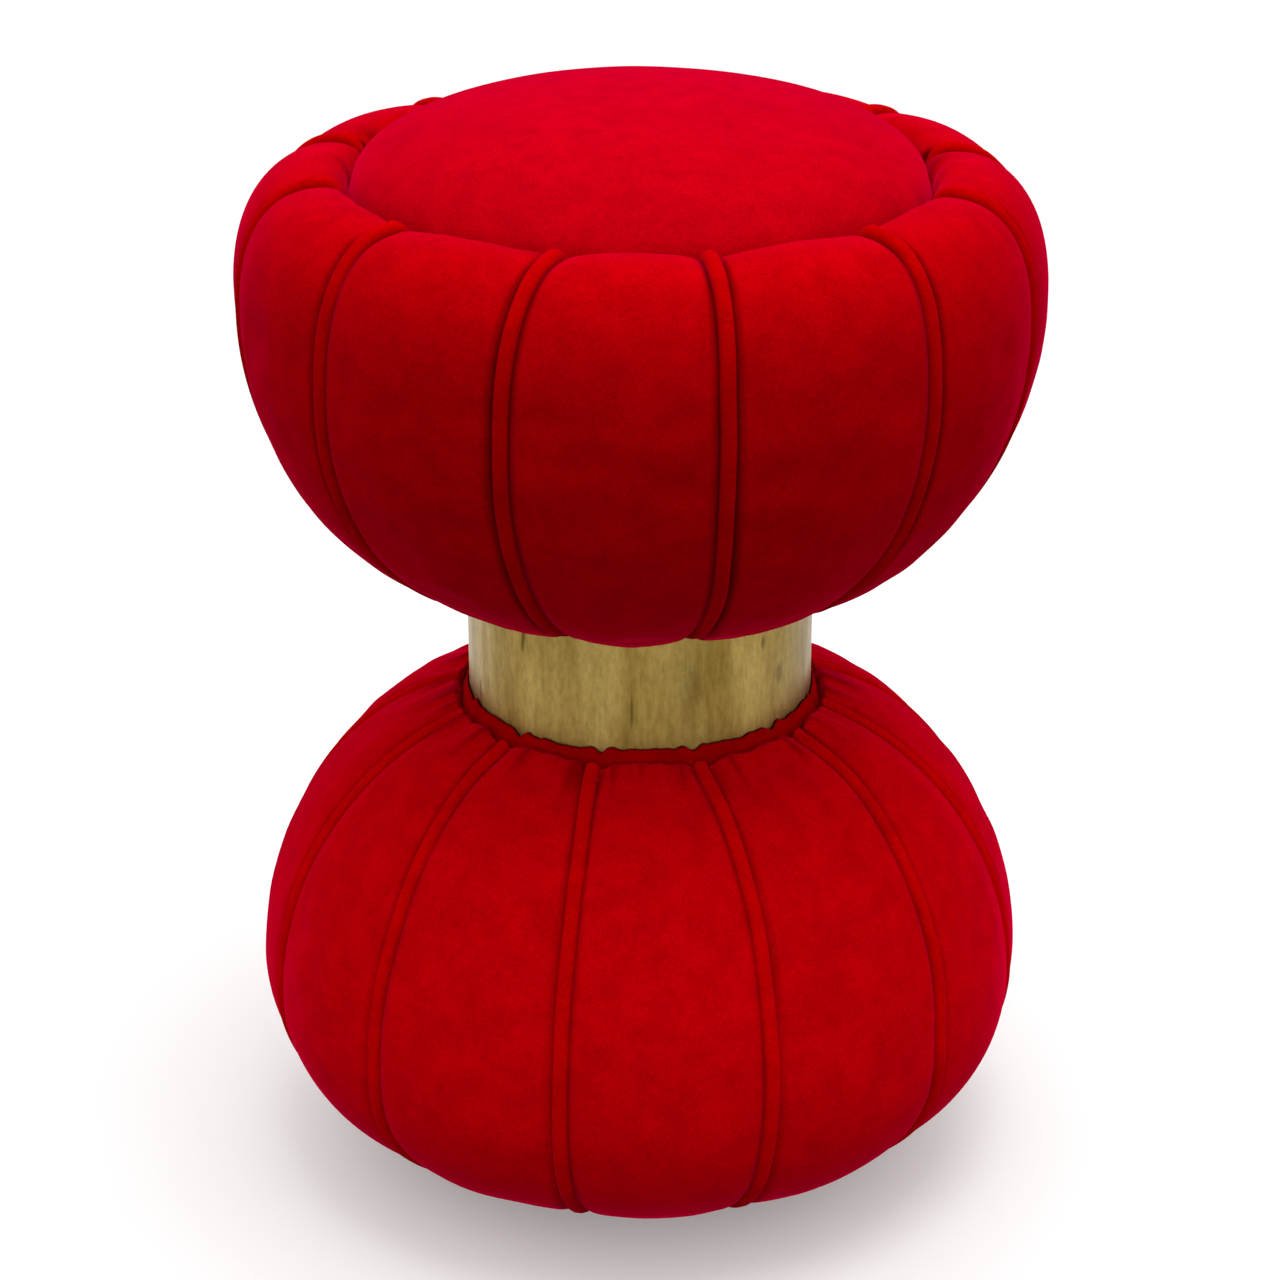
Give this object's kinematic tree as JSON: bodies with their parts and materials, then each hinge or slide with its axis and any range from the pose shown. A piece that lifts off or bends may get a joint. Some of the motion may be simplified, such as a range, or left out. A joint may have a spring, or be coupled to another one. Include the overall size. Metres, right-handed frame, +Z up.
{
  "type": "upholstered swivel stool",
  "caption": "Hourglass velvet stool: two round channelled poufs with welted seams joined by a brass collar, with a domed pad in the rim; the upper pouf swivels.",
  "frame": {"origin": "centre of the footprint on the floor, on the swivel axis", "axes": "+Z up along the swivel axis, -Y towards the front"},
  "size_m": [0.38, 0.38, 0.541],
  "materials": {
    "red_velvet": "matte",
    "welt_velvet": "matte",
    "aged_brass": "satin",
    "retainer_brass": "satin",
    "birch_ply": "matte",
    "grey_board": "matte",
    "upholstery_foam": "matte",
    "black_lining": "matte",
    "black_nylon": "satin",
    "zinc_steel": "satin",
    "plate_steel": "satin",
    "polished_steel": "polished"
  },
  "bodies": {
    "base": {"base_board": "birch_ply", "base_ribs": "birch_ply", "neck_board": "birch_ply", "base_screws": "zinc_steel", "neck_tube": "grey_board", "neck_cap": "birch_ply", "neck_bolts": "zinc_steel", "neck_nuts": "zinc_steel", "base_foam": "upholstery_foam", "base_welts": "welt_velvet", "neck_band": "welt_velvet", "brass_collar": "aged_brass", "collar_pins": "aged_brass", "dust_cover": "black_lining", "base_staples": "zinc_steel", "glides": "black_nylon", "glide_screws": "zinc_steel", "swivel_lower_plate": "plate_steel", "lower_plate_screws": "zinc_steel", "centre_rivet": "zinc_steel", "base_panel_1": "red_velvet", "base_panel_2": "red_velvet", "base_panel_3": "red_velvet", "base_panel_4": "red_velvet", "base_panel_5": "red_velvet", "base_panel_6": "red_velvet", "base_panel_7": "red_velvet", "base_panel_8": "red_velvet", "base_panel_9": "red_velvet", "base_panel_10": "red_velvet", "base_panel_11": "red_velvet", "base_panel_12": "red_velvet"},
    "ball_cage": {"ball_retainer": "retainer_brass", "bearing_balls": "polished_steel"},
    "seat": {"swivel_upper_plate": "plate_steel", "upper_plate_screws": "zinc_steel", "seat_board": "birch_ply", "seat_ribs": "birch_ply", "rim_ring": "birch_ply", "seat_screws": "zinc_steel", "seat_foam": "upholstery_foam", "rim_foam": "upholstery_foam", "seat_welts": "welt_velvet", "pad_board": "birch_ply", "pad_foam": "upholstery_foam", "pad_cover": "red_velvet", "pad_bolts": "zinc_steel", "tee_nuts": "zinc_steel", "seat_panel_1": "red_velvet", "seat_panel_2": "red_velvet", "seat_panel_3": "red_velvet", "seat_panel_4": "red_velvet", "seat_panel_5": "red_velvet", "seat_panel_6": "red_velvet", "seat_panel_7": "red_velvet", "seat_panel_8": "red_velvet", "seat_panel_9": "red_velvet", "seat_panel_10": "red_velvet", "seat_panel_11": "red_velvet", "seat_panel_12": "red_velvet"}
  },
  "joints": [
    {"name": "seat_swivel", "type": "hinge", "parent": "base", "child": "seat", "pos_m": [0, 0, 0.318], "axis": [0, 0, 1], "continuous": true},
    {"name": "cage_roll", "type": "hinge", "parent": "base", "child": "ball_cage", "pos_m": [0, 0, 0.3105], "axis": [0, 0, 1], "continuous": true}
  ],
  "couplings": [
    {"joint": "cage_roll", "follows": "seat_swivel", "ratio": 0.5}
  ]
}
